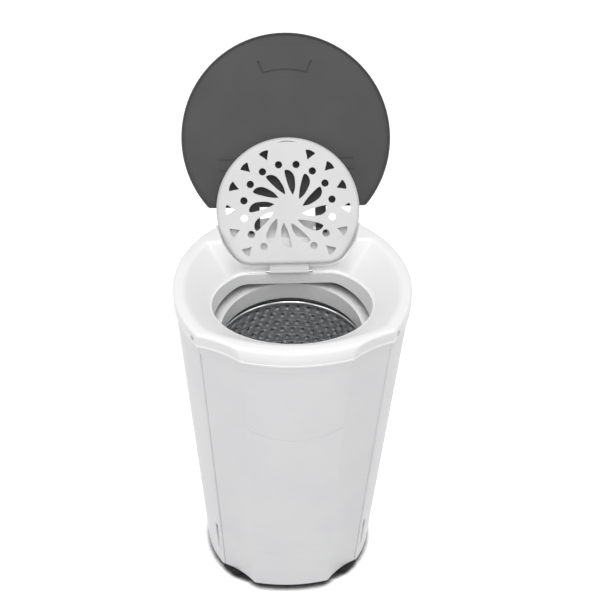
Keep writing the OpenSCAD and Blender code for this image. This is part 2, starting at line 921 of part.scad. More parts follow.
module outer_tub() {
    floor_top = tub_floor_z + tub_t;
    color("gainsboro")
        difference() {
            union() {
                rotate_extrude($fn = round_fn)
                    polygon([[tub_hole_r, tub_floor_z], [tub_r_base + tub_t, tub_floor_z],
                             [tub_r_top + tub_t, flange_top_z], [tub_r_top, flange_top_z],
                             [tub_r_base, floor_top], [tub_hole_r, floor_top]]);
                difference() {
                    outline(flange_z, flange_top_z, casing_inset + seat_gap, panel_let_in);
                    translate([0, 0, flange_z - 1])
                        cylinder(h = flange_t + 2, r = tub_r_top + 1, $fn = round_fn);
                }
                translate([0, tub_r_base + 1, spout_z])
                    rotate([-90, 0, 0])
                        cylinder(h = socket_y - tub_r_base - 1 + socket_l, r = spout_r + 3,
                                 $fn = round_fn);
            }
            translate([0, tub_r_base - 10, spout_z])
                rotate([-90, 0, 0])
                    cylinder(h = 40, r = spout_bore_r, $fn = round_fn);
            translate([0, socket_y, spout_z])
                rotate([-90, 0, 0])
                    cylinder(h = socket_l + 1, r = spout_r, $fn = round_fn);
        }
}

module splash_ring() {
    ring_out = tub_r_top + 4;
    color(white)
        rotate_extrude($fn = round_fn)
            polygon([[ring_out, flange_top_z], [ring_out, flange_top_z + 4],
                     [ring_r + 4.5, ring_top_z], [ring_r + 0.5, ring_top_z],
                     [ring_r + 5, ring_low_z], [ring_r + 7.5, ring_low_z],
                     [ring_r + 3.3, ring_top_z - 3.2], [ring_r + 4.5, ring_top_z - 3],
                     [ring_out - 4, flange_top_z + 1.4], [ring_out - 4, flange_top_z]]);
}

module drain_spout() {
    spout_l = side_r(spout_z) + spout_out - socket_y;
    color("gray")
        translate([0, socket_y, spout_z])
            rotate([-90, 0, 0])
                difference() {
                    union() {
                        cylinder(h = spout_l, r = spout_r, $fn = round_fn);
                        translate([0, 0, spout_l - spout_out + 2 * seat_gap])
                            cylinder(h = collar_t, r = spout_r + 3, $fn = round_fn);
                    }
                    translate([0, 0, -1])
                        cylinder(h = spout_l + 2, r = spout_bore_r, $fn = round_fn);
                }
}

module cord_grommet() {
    color("black")
        grommet_place(0)
            rotate_extrude($fn = round_fn)
                polygon([[grommet_bore_r, -8], [11, -8], [11, -6], [grommet_r, -5.5],
                         [grommet_r, 0.2], [11, 0.5], [10, 4], [grommet_bore_r, 4]]);
}

/* Drive */
plate_t = 2.5;
plate_top_z = plate_z + plate_t;
bearing_r = 20;
bearing_h = 12;
shield_h = 11.5;
lower_bearing_z = plate_top_z + 1.5;
casing_low_z = plate_top_z + shield_h;
casing_high_z = casing_low_z + stator_h + 12;
upper_top_z = casing_high_z + shield_h;
upper_bearing_z = upper_top_z - 1.5 - bearing_h;
bore_r = shaft_r + shaft_clearance;
stator_in_r = 34;
motor_wall = 2.5;
thread_r = shaft_r - 1.5;
seal_gap = 0.6;
seal_t = 3;
seal_foot_r = 25;
seal_rim_w = 10;
hub_disc_r = 88;
hub_disc_t = 4;
hub_boss_r = 20;
hub_boss_h = 14;
hub_flare = 4;

module motor_plate() {
    color(steel)
        difference() {
            translate([0, 0, plate_z])
                cylinder(h = plate_t, r = mount_reach + 13, $fn = round_fn);
            translate([0, 0, plate_z - 1])
                cylinder(h = plate_t + 2, r = 28, $fn = round_fn);
        }
}

module rubber_mounts() {
    color("black")
        mount_place()
            translate([0, 0, post_top_z])
                rotate_extrude($fn = round_fn)
                    polygon([[0, 0], [12, 0], [12, 2], [9, mount_h / 2], [12, mount_h - 2],
                             [12, mount_h], [0, mount_h]]);
}

// Half section of an end shield with its bearing seat, its rim's face at z = 0
module end_shield() {
    rotate_extrude($fn = round_fn)
        polygon([[13, 0], [motor_r, 0], [motor_r, shield_h], [motor_r - 4, shield_h],
                 [motor_r - 4, 3.5], [bearing_r + 4, 3.5], [bearing_r + 4, 1.5 + bearing_h],
                 [bearing_r, 1.5 + bearing_h], [bearing_r, 1.5], [13, 1.5]]);
}

module motor_lower_shield() {
    color(steel)
        translate([0, 0, plate_top_z])
            end_shield();
}

module motor_upper_shield() {
    color(steel)
        translate([0, 0, upper_top_z])
            mirror([0, 0, 1])
                end_shield();
}

module motor_casing() {
    color(steel)
        translate([0, 0, casing_low_z])
            difference() {
                cylinder(h = casing_high_z - casing_low_z, r = motor_r, $fn = round_fn);
                translate([0, 0, -1])
                    cylinder(h = casing_high_z - casing_low_z + 2, r = motor_r - motor_wall,
                             $fn = round_fn);
            }
}

module motor_stator() {
    mid = (casing_low_z + casing_high_z) / 2;
    half = stator_h / 2;
    color("peru")
        translate([0, 0, mid])
            rotate_extrude($fn = round_fn)
                polygon([[stator_in_r, -half], [stator_in_r + 4, -half], [stator_in_r + 5, -half - 5],
                         [stator_in_r + 14, -half - 5], [stator_in_r + 15, -half],
                         [motor_r - motor_wall, -half], [motor_r - motor_wall, half],
                         [stator_in_r + 15, half], [stator_in_r + 14, half + 5],
                         [stator_in_r + 5, half + 5], [stator_in_r + 4, half],
                         [stator_in_r, half]]);
}

module bearing(z) {
    color(steel)
        translate([0, 0, z])
            difference() {
                cylinder(h = bearing_h, r = bearing_r, $fn = round_fn);
                translate([0, 0, -1])
                    cylinder(h = bearing_h + 2, r = bore_r, $fn = round_fn);
            }
}

module shaft_seal() {
    top = tub_floor_z;
    low = upper_top_z;
    lip_r = shaft_r + seal_gap;
    out_r = tub_hole_r + seal_rim_w;
    color("black")
        rotate_extrude($fn = round_fn)
            polygon([[lip_r, low], [seal_foot_r, low], [seal_foot_r, low + seal_t],
                     [seal_foot_r + 7, low + seal_t + 2.5], [out_r, top - seal_t], [out_r, top],
                     [tub_hole_r - 4, top], [tub_hole_r - 6, top - seal_t],
                     [seal_foot_r - 5, low + seal_t + 2], [lip_r, low + seal_t]]);
}

module run_capacitor() {
    color("whitesmoke")
        translate([cap_x, cap_y, base_top_z]) {
            cylinder(h = cap_h, r = cap_r, $fn = round_fn);
            for (side = [-1, 1])
                translate([side * 6 - 0.5, -3, cap_h - eps])
                    cube([1, 6, 8]);
        }
}

module lid_switch() {
    size = [40, 18, 20];
    color("black")
        translate([-size[0] / 2, lid_axis_y + 2, well_floor_z - deck_t - size[2]])
            union() {
                cube(size);
                for (i = [0:2])
                    translate([8 + i * 11, size[1] / 2 - 2, -6])
                        cube([1, 4, 6 + eps]);
            }
}

/* Spinning parts */
function basket_r(z) =
    basket_r_base + (basket_r_top - basket_r_base) * (z - basket_floor_z) /
    (basket_top_z - basket_floor_z);
basket_wall_top = basket_top_z - 8;
hub_top_z = basket_floor_z;

module basket() {
    first = basket_floor_z + 26;
    pitch = (basket_wall_top - 24 - first) / (hole_rows - 1);
    color(steel)
        difference() {
            rotate_extrude($fn = round_fn)
                polygon([[thread_r, basket_floor_z], [basket_r_base - 8, basket_floor_z],
                         [basket_r(basket_floor_z + 8), basket_floor_z + 8],
                         [basket_r(basket_wall_top), basket_wall_top],
                         [basket_r(basket_wall_top) - basket_t, basket_wall_top],
                         [basket_r(basket_floor_z + 8) - basket_t, basket_floor_z + 8.5],
                         [basket_r_base - 8.5, basket_floor_z + basket_t],
                         [thread_r, basket_floor_z + basket_t]]);
            for (row = [0:hole_rows - 1], i = [0:holes_per_row - 1])
                rotate([0, 0, (i + (row % 2) / 2) * 360 / holes_per_row])
                    translate([basket_r_base - 10, 0, first + row * pitch])
                        rotate([0, 90, 0])
                            cylinder(h = 30, r = hole_r, $fn = 16);
        }
}

module basket_rim() {
    mid = basket_r(basket_wall_top) - 2.5;
    color(steel)
        rotate_extrude($fn = round_fn)
            translate([mid, basket_wall_top])
                polygon([for (a = [0:15:180]) [5 * cos(a), 8 * sin(a)]]);
}

module basket_hub() {
    color(steel)
        rotate_extrude($fn = round_fn)
            polygon([[shaft_r, hub_top_z - hub_boss_h], [hub_boss_r, hub_top_z - hub_boss_h],
                     [hub_boss_r + hub_flare, hub_top_z - 2 * hub_disc_t],
                     [hub_disc_r, hub_top_z - hub_disc_t], [hub_disc_r, hub_top_z],
                     [shaft_r, hub_top_z]]);
}

module drive_shaft() {
    color(steel)
        union() {
            translate([0, 0, plate_z - 4])
                cylinder(h = hub_top_z - plate_z + 4, r = shaft_r, $fn = round_fn);
            translate([0, 0, hub_top_z - eps])
                cylinder(h = 18, r = thread_r, $fn = round_fn);
        }
}

module motor_rotor() {
    mid = (casing_low_z + casing_high_z) / 2;
    color(steel)
        translate([0, 0, mid - stator_h / 2])
            difference() {
                cylinder(h = stator_h, r = stator_in_r - 0.6, $fn = round_fn);
                translate([0, 0, -1])
                    cylinder(h = stator_h + 2, r = shaft_r, $fn = round_fn);
            }
}

module hub_nut() {
    color(steel)
        translate([0, 0, basket_floor_z + basket_t])
            difference() {
                cylinder(h = 11, r = 15, $fn = 6);
                translate([0, 0, -1])
                    cylinder(h = 14, r = thread_r, $fn = round_fn);
            }
}

rear_shell();
front_shell();
base_plate();
top_deck();
foot(-1, -1);  // foot_front_left
foot(-1, 1);  // foot_front_right
foot(1, -1);  // foot_rear_left
foot(1, 1);  // foot_rear_right
base_screws();
deck_screws();
outer_tub();
splash_ring();
drain_spout();
cord_grommet();
motor_plate();
rubber_mounts();
motor_lower_shield();
motor_upper_shield();
motor_casing();
motor_stator();
bearing(lower_bearing_z);  // lower_bearing
bearing(upper_bearing_z);  // upper_bearing
shaft_seal();
run_capacitor();
lid_switch();
outer_lid_pins();
inner_lid_pin();
outer_lid();
inner_lid();
basket();
basket_rim();
basket_hub();
drive_shaft();
motor_rotor();
hub_nut();
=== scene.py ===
import json
import math

import bmesh
import bpy
from mathutils import Matrix, Vector

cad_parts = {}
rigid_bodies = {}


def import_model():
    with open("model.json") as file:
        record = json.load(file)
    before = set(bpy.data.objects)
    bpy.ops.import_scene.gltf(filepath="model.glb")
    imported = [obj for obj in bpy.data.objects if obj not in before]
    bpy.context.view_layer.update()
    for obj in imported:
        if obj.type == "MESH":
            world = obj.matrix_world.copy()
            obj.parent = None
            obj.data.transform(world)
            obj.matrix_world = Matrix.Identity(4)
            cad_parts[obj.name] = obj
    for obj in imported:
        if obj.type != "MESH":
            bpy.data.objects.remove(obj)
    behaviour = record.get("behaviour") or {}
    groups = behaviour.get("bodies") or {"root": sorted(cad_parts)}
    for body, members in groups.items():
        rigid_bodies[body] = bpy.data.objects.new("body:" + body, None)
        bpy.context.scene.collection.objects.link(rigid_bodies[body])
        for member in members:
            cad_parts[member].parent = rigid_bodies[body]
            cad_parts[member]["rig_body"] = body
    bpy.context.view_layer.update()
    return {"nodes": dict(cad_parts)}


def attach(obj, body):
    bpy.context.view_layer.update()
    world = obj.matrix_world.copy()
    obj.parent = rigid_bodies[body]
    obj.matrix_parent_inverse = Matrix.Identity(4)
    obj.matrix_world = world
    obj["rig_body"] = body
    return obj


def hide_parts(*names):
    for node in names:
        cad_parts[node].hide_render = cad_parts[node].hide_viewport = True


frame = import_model()
mm = 0.001
nodes = frame["nodes"]


# sRGB hex to the linear values that the shaders take
def linear(hexColour):
    channels = [int(hexColour[i:i + 2], 16) / 255 for i in (1, 3, 5)]
    return [c / 12.92 if c <= 0.04045 else ((c + 0.055) / 1.055) ** 2.4 for c in channels] + [1.0]


# Camera, fitted to the rim, the feet and the front outline. Roll is clockwise.
camera = {
    "place": (-0.1422, -2.2825, 2.7261),
    "aim": (0.01378, -0.00094, 0.6428),
    "roll": 1.37,
    "lens": 102.85,
    "sensor": 36,
}


def makeCamera(spec):
    bpy.ops.object.camera_add(location=spec["place"])
    eye = bpy.context.object
    forward = (Vector(spec["aim"]) - Vector(spec["place"])).normalized()
    right = forward.cross(Vector((0, 0, 1))).normalized()
    up = right.cross(forward)
    roll = math.radians(spec["roll"])
    rolledRight = right * math.cos(roll) + up * math.sin(roll)
    rolledUp = up * math.cos(roll) - right * math.sin(roll)
    turn = Matrix((rolledRight, rolledUp, -forward)).transposed()
    eye.matrix_world = Matrix.Translation(spec["place"]) @ turn.to_4x4()
    eye.data.lens = spec["lens"]
    eye.data.sensor_width = spec["sensor"]
    eye.data.clip_end = 50
    bpy.context.scene.camera = eye


makeCamera(camera)
print("camera placed")


# Adds a node, sets its values and settings, and joins its inputs
def addNode(tree, kind, place, values=None, links=None, **settings):
    made = tree.nodes.new(kind)
    made.location = place
    for name, value in settings.items():
        setattr(made, name, value)
    for name, value in (values or {}).items():
        made.inputs[name].default_value = value
    for name, source in (links or {}).items():
        tree.links.new(source, made.inputs[name])
    return made


# A new material with its shader's constants set; returns it with its tree, shader and coordinates
def startMaterial(name, **values):
    made = bpy.data.materials.new(name)
    made.use_nodes = True
    tree = made.node_tree
    shader = tree.nodes["Principled BSDF"]
    for key, value in values.items():
        shader.inputs[key.replace("_", " ")].default_value = value
    coordinates = addNode(tree, "ShaderNodeTexCoord", (-1100, 0))
    return made, tree, shader, coordinates.outputs["Object"]


# Mixes two colours by a noise of the given grain size in mm
def mottle(tree, shader, place, grain, dark, light, low=0.35, high=0.65):
    noise = addNode(tree, "ShaderNodeTexNoise", (-850, 250), {"Scale": 1000 / grain, "Detail": 3},
                    {"Vector": place})
    ramp = addNode(tree, "ShaderNodeValToRGB", (-450, 250), None, {"Fac": noise.outputs["Fac"]})
    ramp.color_ramp.elements[0].position = low
    ramp.color_ramp.elements[1].position = high
    ramp.color_ramp.elements[0].color = linear(dark)
    ramp.color_ramp.elements[1].color = linear(light)
    tree.links.new(ramp.outputs["Color"], shader.inputs["Base Color"])


# Roughness that wanders between two values over patches of the given size in mm
def patchyRoughness(tree, shader, place, patch, low, high):
    noise = addNode(tree, "ShaderNodeTexNoise", (-850, 0), {"Scale": 1000 / patch, "Detail": 2},
                    {"Vector": place})
    spread = addNode(tree, "ShaderNodeMapRange", (-450, 0), {"To Min": low, "To Max": high},
                     {"Value": noise.outputs["Fac"]})
    tree.links.new(spread.outputs["Result"], shader.inputs["Roughness"])


# Fine bump of the given grain in mm and depth in mm
def grainBump(tree, shader, place, grain, depth, detail=2):
    noise = addNode(tree, "ShaderNodeTexNoise", (-850, -300),
                    {"Scale": 1000 / grain, "Detail": detail}, {"Vector": place})
    bump = addNode(tree, "ShaderNodeBump", (-450, -300), {"Strength": 1.0, "Distance": depth * mm},
                   {"Height": noise.outputs["Fac"]})
    tree.links.new(bump.outputs["Normal"], shader.inputs["Normal"])


# Injection-moulded white ABS: even, with a soft sheen and the faint waviness of a large moulding
def whiteAbs(name="whiteAbs"):
    made, tree, shader, place = startMaterial(name, IOR=1.54, Specular_IOR_Level=0.4)
    mottle(tree, shader, place, 120, "#ececee", "#f0f0f1")
    patchyRoughness(tree, shader, place, 60, 0.34, 0.42)
    grainBump(tree, shader, place, 45, 0.05, 1)
    return made


# Painted shadow lines under the front moulding's steps and sink marks, in mm
panelShadowLines = {
    "shadowColour": "#6e6e70",
    # height, half width and darkness of the level ones
    "level": [(631.3, 0.8, 0.24), (140, 0.7, 0.05), (118, 0.7, 0.05)],
    "arc": {"centre": 617.8, "radius": 167.8, "half": 0.9, "top": 475, "darkness": 0.16},
}


# Lays the painted shadow grey over the base where a mask is 1
def darken(tree, base, mask, darkness):
    share = addNode(tree, "ShaderNodeMath", (-450, 600), {1: darkness}, {0: mask},
                    operation="MULTIPLY")
    mixed = addNode(tree, "ShaderNodeMixRGB", (-250, 600), {"Color2": linear(panelShadowLines["shadowColour"])},
                    {"Fac": share.outputs["Value"], "Color1": base})
    return mixed.outputs["Color"]


# The same ABS on the front moulding, with those painted shadow lines
def panelAbs():
    made = whiteAbs("panelAbs")
    tree = made.node_tree
    shader = tree.nodes["Principled BSDF"]
    place = tree.nodes["Texture Coordinate"].outputs["Object"]
    axes = addNode(tree, "ShaderNodeSeparateXYZ", (-850, 600), None, {"Vector": place})
    base = shader.inputs["Base Color"].links[0].from_socket
    # Painted shadow along each level line
    for high, half, darkness in panelShadowLines["level"]:
        near = addNode(tree, "ShaderNodeMath", (-650, 600), {1: high * mm, 2: half * mm},
                       {0: axes.outputs["Z"]}, operation="COMPARE")
        base = darken(tree, base, near.outputs["Value"], darkness)
    # The arc is painted shade along the panel's curved crease
    arc = panelShadowLines["arc"]
    flat = addNode(tree, "ShaderNodeCombineXYZ", (-850, 900), None,
                   {"X": axes.outputs["X"], "Z": axes.outputs["Z"]})
    away = addNode(tree, "ShaderNodeVectorMath", (-650, 900), {1: (0, 0, arc["centre"] * mm)},
                   {0: flat.outputs["Vector"]}, operation="DISTANCE")
    onArc = addNode(tree, "ShaderNodeMath", (-450, 900),
                    {1: arc["radius"] * mm, 2: arc["half"] * mm},
                    {0: away.outputs["Value"]}, operation="COMPARE")
    below = addNode(tree, "ShaderNodeMath", (-450, 1050), {1: arc["top"] * mm},
                    {0: axes.outputs["Z"]}, operation="LESS_THAN")
    shown = addNode(tree, "ShaderNodeMath", (-300, 900), None,
                    {0: onArc.outputs["Value"], 1: below.outputs["Value"]}, operation="MULTIPLY")
    base = darken(tree, base, shown.outputs["Value"], arc["darkness"])
    tree.links.new(base, shader.inputs["Base Color"])
    return made


# ABS polished in the mould, on the deck and the ring, so they are glossier; their paler white is
# painted light, so they render brighter than the casing
def deckAbs(name, dark, pale):
    made, tree, shader, place = startMaterial(name, IOR=1.54, Specular_IOR_Level=0.4)
    mottle(tree, shader, place, 150, dark, pale)
    patchyRoughness(tree, shader, place, 70, 0.28, 0.34)
    grainBump(tree, shader, place, 60, 0.04, 1)
    return made


# Injection-moulded polypropylene, dyed dark grey, with a fine spark-eroded texture
def greyPolypropylene():
    made, tree, shader, place = startMaterial("greyPolypropylene", IOR=1.49,
                                              Specular_IOR_Level=0.22)
    mottle(tree, shader, place, 90, "#474747", "#4b4b4b")
    patchyRoughness(tree, shader, place, 40, 0.42, 0.52)
    grainBump(tree, shader, place, 1.2, 0.03)
    return made


# Natural white polypropylene, thin and slightly waxy
def whitePolypropylene():
    made, tree, shader, place = startMaterial("whitePolypropylene", IOR=1.49,
                                              Specular_IOR_Level=0.4)
    mottle(tree, shader, place, 80, "#d0d0d0", "#d5d5d5")
    patchyRoughness(tree, shader, place, 40, 0.32, 0.4)
    grainBump(tree, shader, place, 30, 0.04, 1)
    return made


# Blow-moulded tub polypropylene, duller and a little grey
def tubPolypropylene():
    made, tree, shader, place = startMaterial("tubPolypropylene", IOR=1.49)
    mottle(tree, shader, place, 60, "#b9bab8", "#c6c7c5")
    patchyRoughness(tree, shader, place, 30, 0.45, 0.6)
    grainBump(tree, shader, place, 8, 0.08)
    return made


# Deep-drawn stainless sheet, rolled bright, with fine drawing lines round the axis
def drawnStainless():
    made, tree, shader, place = startMaterial("drawnStainless", Metallic=1.0)
    mottle(tree, shader, place, 25, "#dadbdc", "#e6e7e8", 0.3, 0.7)
    stretch = addNode(tree, "ShaderNodeMapping", (-1000, -100), {"Scale": (1, 1, 30)},
                      {"Vector": place})
    lines = addNode(tree, "ShaderNodeTexNoise", (-850, 0), {"Scale": 40, "Detail": 4},
                    {"Vector": stretch.outputs["Vector"]})
    spread = addNode(tree, "ShaderNodeMapRange", (-450, 0), {"To Min": 0.38, "To Max": 0.52},
                     {"Value": lines.outputs["Fac"]})
    tree.links.new(spread.outputs["Result"], shader.inputs["Roughness"])
    bump = addNode(tree, "ShaderNodeBump", (-450, -300), {"Strength": 0.4, "Distance": 0.05 * mm},
                   {"Height": lines.outputs["Fac"]})
    tree.links.new(bump.outputs["Normal"], shader.inputs["Normal"])
    return made


# The same steel where it is rolled over the rim and buffed
def polishedStainless():
    made, tree, shader, place = startMaterial("polishedStainless", Metallic=1.0)
    mottle(tree, shader, place, 18, "#c4c5c6", "#d4d5d6")
    patchyRoughness(tree, shader, place, 12, 0.1, 0.2)
    grainBump(tree, shader, place, 5, 0.02)
    return made


# Zinc-plated mild steel with its bluish, slightly cloudy passivation
def zincSteel():
    made, tree, shader, place = startMaterial("zincSteel", Metallic=1.0)
    mottle(tree, shader, place, 4, "#9da1a6", "#b7bac0")
    patchyRoughness(tree, shader, place, 3, 0.3, 0.45)
    grainBump(tree, shader, place, 1, 0.02)
    return made


# Ground bearing and shaft steel, bright with turning lines
def groundSteel():
    made, tree, shader, place = startMaterial("groundSteel", Metallic=1.0)
    mottle(tree, shader, place, 6, "#a8aaad", "#bdbfc2")
    patchyRoughness(tree, shader, place, 2, 0.18, 0.28)
    grainBump(tree, shader, place, 0.8, 0.01)
    return made


# Pressure die-cast aluminium with a sandy skin
def castAluminium():
    made, tree, shader, place = startMaterial("castAluminium", Metallic=1.0)
    mottle(tree, shader, place, 5, "#9a9b9c", "#b0b1b2")
    patchyRoughness(tree, shader, place, 4, 0.45, 0.62)
    grainBump(tree, shader, place, 1.5, 0.08)
    return made


# Dark stoving enamel on the motor's rolled casing
def motorEnamel():
    made, tree, shader, place = startMaterial("motorEnamel", IOR=1.52, Coat_Weight=0.3)
    mottle(tree, shader, place, 20, "#2c2e31", "#34363a")
    patchyRoughness(tree, shader, place, 10, 0.3, 0.42)
    grainBump(tree, shader, place, 2, 0.03)
    return made


# Varnished copper turns and laminations, brown and glossy
def varnishedCopper():
    made, tree, shader, place = startMaterial("varnishedCopper", Metallic=0.6, Coat_Weight=0.5)
    mottle(tree, shader, place, 3, "#7a4426", "#a0643a")
    patchyRoughness(tree, shader, place, 3, 0.25, 0.4)
    grainBump(tree, shader, place, 1.1, 0.2)
    return made


# Moulded black rubber, matt with a dusty bloom
def blackRubber():
    made, tree, shader, place = startMaterial("blackRubber", IOR=1.52, Specular_IOR_Level=0.3)
    mottle(tree, shader, place, 8, "#161616", "#202020")
    patchyRoughness(tree, shader, place, 5, 0.62, 0.78)
    grainBump(tree, shader, place, 1.5, 0.05)
    return made


# Glass-filled black nylon of the switch body
def blackNylon():
    made, tree, shader, place = startMaterial("blackNylon", IOR=1.53)
    mottle(tree, shader, place, 6, "#1b1b1c", "#242425")
    patchyRoughness(tree, shader, place, 4, 0.4, 0.55)
    grainBump(tree, shader, place, 0.9, 0.03)
    return made


# Grey-white flame-retardant plastic can of the capacitor
def capacitorPlastic():
    made, tree, shader, place = startMaterial("capacitorPlastic", IOR=1.5)
    mottle(tree, shader, place, 15, "#d6d6d0", "#deded9")
    patchyRoughness(tree, shader, place, 9, 0.35, 0.45)
    grainBump(tree, shader, place, 3, 0.03)
    return made


# The deck's and the ring's paler whites are painted light, the ring's palest against the shade
# inside the mouth
finishes = {
    "casing": whiteAbs(), "panel": panelAbs(), "deck": deckAbs("deckAbs", "#f6f6f6", "#f9f9f9"),
    "ring": deckAbs("ringAbs", "#f9f9f9", "#fcfcfc"), "outerLid": greyPolypropylene(),
    "innerLid": whitePolypropylene(), "tub": tubPolypropylene(), "basket": drawnStainless(),
    "rim": polishedStainless(), "zinc": zincSteel(), "ground": groundSteel(),
    "cast": castAluminium(), "motor": motorEnamel(), "winding": varnishedCopper(),
    "rubber": blackRubber(), "nylon": blackNylon(), "capacitor": capacitorPlastic(),
}

nodeFinish = {
    "rear_shell": "casing", "front_shell": "casing", "base_plate": "casing", "top_deck": "deck",
    "foot_front_left": "rubber", "foot_front_right": "rubber", "foot_rear_left": "rubber",
    "foot_rear_right": "rubber", "base_screws": "zinc", "deck_screws": "zinc", "outer_tub": "tub",
    "splash_ring": "deck", "drain_spout": "tub", "cord_grommet": "rubber", "motor_plate": "zinc",
    "rubber_mounts": "rubber", "motor_lower_shield": "cast", "motor_upper_shield": "cast",
    "motor_casing": "motor", "motor_stator": "winding", "lower_bearing": "ground",
    "upper_bearing": "ground", "shaft_seal": "rubber", "run_capacitor": "capacitor",
    "lid_switch": "nylon", "outer_lid_pins": "ground", "inner_lid_pin": "ground",
    "outer_lid": "outerLid", "inner_lid": "innerLid", "basket": "basket", "basket_rim": "rim",
    "basket_hub": "cast", "drive_shaft": "ground", "motor_rotor": "ground", "hub_nut": "rim",
}


def setFinish(piece, finish):
    piece.data.materials.clear()
    piece.data.materials.append(finishes[finish])


for nodeName, finish in nodeFinish.items():
    setFinish(nodes[nodeName], finish)
print("materials made")


def deselectAll():
    if bpy.context.object and bpy.context.object.mode != "OBJECT":
        bpy.ops.object.mode_set(mode="OBJECT")
    bpy.ops.object.select_all(action="DESELECT")


def makeActive(piece):
    deselectAll()
    piece.select_set(True)
    bpy.context.view_layer.objects.active = piece


def applyModifier(piece, kind, **settings):
    makeActive(piece)
    made = piece.modifiers.new(kind.lower(), kind)
    for name, value in settings.items():
        setattr(made, name, value)
    bpy.ops.object.modifier_apply(modifier=made.name)


def smoothByAngle(piece, degrees=35):
    makeActive(piece)
    bpy.ops.object.shade_smooth_by_angle(angle=math.radians(degrees))


# A merged copy of a CAD node, with flat faces joined
def cleanCopy(pieceName, nodeName):
    piece = bpy.data.objects.new(pieceName, nodes[nodeName].data.copy())
    bpy.context.scene.collection.objects.link(piece)
    makeActive(piece)
    bpy.ops.mesh.customdata_custom_splitnormals_clear()
    bpy.ops.object.mode_set(mode="EDIT")
    bpy.ops.mesh.select_all(action="SELECT")
    bpy.ops.mesh.remove_doubles(threshold=0.002 * mm)
    bpy.ops.mesh.dissolve_limited(angle_limit=math.radians(0.3))
    bpy.ops.object.mode_set(mode="OBJECT")
    return piece


def softenEdges(piece, edge, sharp=30, segments=2):
    applyModifier(piece, "BEVEL", width=edge * mm, segments=segments, limit_method="ANGLE",
                  angle_limit=math.radians(sharp), use_clamp_overlap=True, harden_normals=False)


# Smooths and colours a finished piece, and lets it stand for a CAD node on that node's body
def finishPiece(piece, nodeName, finish, smooth=35):
    smoothByAngle(piece, smooth)
    applyModifier(piece, "WEIGHTED_NORMAL", keep_sharp=True)
    setFinish(piece, finish)
    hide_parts(nodeName)
    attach(piece, nodes[nodeName]["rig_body"])
    return piece


def softCopy(pieceName, nodeName, edge, finish, sharp=30):
    piece = cleanCopy(pieceName, nodeName)
    if edge:
        softenEdges(piece, edge, sharp)
    return finishPiece(piece, nodeName, finish)


# A mesh from points in mm, with all of its faces turned outwards
def meshPiece(pieceName, points, faces):
    mesh = bpy.data.meshes.new(pieceName)
    mesh.from_pydata([Vector(p) * mm for p in points], [], faces)
    piece = bpy.data.objects.new(pieceName, mesh)
    bpy.context.scene.collection.objects.link(piece)
    makeActive(piece)
    bpy.ops.object.mode_set(mode="EDIT")
    bpy.ops.mesh.select_all(action="SELECT")
    bpy.ops.mesh.remove_doubles(threshold=0.002 * mm)
    bpy.ops.mesh.normals_make_consistent(inside=False)
    bpy.ops.object.mode_set(mode="OBJECT")
    return piece


# An upright prism on a plan in mm, placed by a matrix
def prism(plan, low, high, place=Matrix()):
    count = len(plan)
    points = [(x, y, low) for x, y in plan] + [(x, y, high) for x, y in plan]
    faces = [tuple(range(count)), tuple(range(count, 2 * count))]
    faces += [(i, (i + 1) % count, (i + 1) % count + count, i + count) for i in range(count)]
    made = meshPiece("block", points, faces)
    made.data.transform(place)
    return made


def circlePlan(radius, count, x=0, y=0):
    turns = [math.tau * i / count for i in range(count)]
    return [(x + radius * math.cos(t), y + radius * math.sin(t)) for t in turns]


def cutBy(piece, cutters, operation="DIFFERENCE"):
    for cutter in cutters:
        applyModifier(piece, "BOOLEAN", object=cutter, operation=operation, solver="EXACT")
        bpy.data.objects.remove(cutter)


# Keeps what lies behind a plane in mm, or with front what lies before it
def keepSide(piece, place, normal, front=False):
    shape = bmesh.new()
    shape.from_mesh(piece.data)
    bmesh.ops.bisect_plane(shape, geom=shape.verts[:] + shape.edges[:] + shape.faces[:],
                           plane_co=[c * mm for c in place], plane_no=normal,
                           clear_outer=not front, clear_inner=front)
    shape.to_mesh(piece.data)
    shape.free()


def joinTo(piece, others):
    makeActive(piece)
    for other in others:
        other.select_set(True)
    bpy.ops.object.join()


# The casing's outline, which tapers straight from the rim to its bottom edge
casing = {
    "low": 15, "high": 680,
    "sideLow": 163, "sideHigh": 215,
    "frontAxis": 152.5, "frontLow": 307, "frontHigh": 335,
    "panelLow": 149, "panelHigh": 200,
    "cornerAngle": 54, "hollow": 5,
}


def taper(low, high, z):
    return low + (high - low) * (z - casing["low"]) / (casing["high"] - casing["low"])


# Radius and axis of the cone that hollows a corner panel, fitted at one height
def fitHollow(z):
    side = taper(casing["sideLow"], casing["sideHigh"], z)
    front = taper(casing["frontLow"], casing["frontHigh"], z)
    half = taper(casing["panelLow"], casing["panelHigh"], z) / 2
    turn = math.radians(casing["cornerAngle"])
    inner = Vector((half, casing["frontAxis"] - math.sqrt(front ** 2 - half ** 2)))
    outer = side * Vector((math.sin(turn), -math.cos(turn)))
    chord = outer - inner
    radius = ((chord.length / 2) ** 2 + casing["hollow"] ** 2) / (2 * casing["hollow"])
    across = Vector((chord.y, -chord.x)).normalized()
    return radius, (inner + outer) / 2 + across * (radius - casing["hollow"])


lowHollow, highHollow = fitHollow(casing["low"]), fitHollow(casing["high"])


# How far a ray from the spin axis, at an angle from the front, goes to a circle
def reach(angle, centre, radius, nearSide=False):
    ray = Vector((math.sin(angle), -math.cos(angle)))
    along = ray.dot(centre)
    gap = along ** 2 - centre.length_squared + radius ** 2
    if gap <= 0 or (nearSide and along <= 0):
        return 999
    return along - math.sqrt(gap) if nearSide else along + math.sqrt(gap)


def softMin(a, b, blend):
    gap = abs(a - b)
    return min(a, b) - ((blend - gap) ** 2 / (4 * blend) if gap < blend else 0)


def frontReach(angle, radius):
    return reach(angle, Vector((0, casing["frontAxis"])), radius)


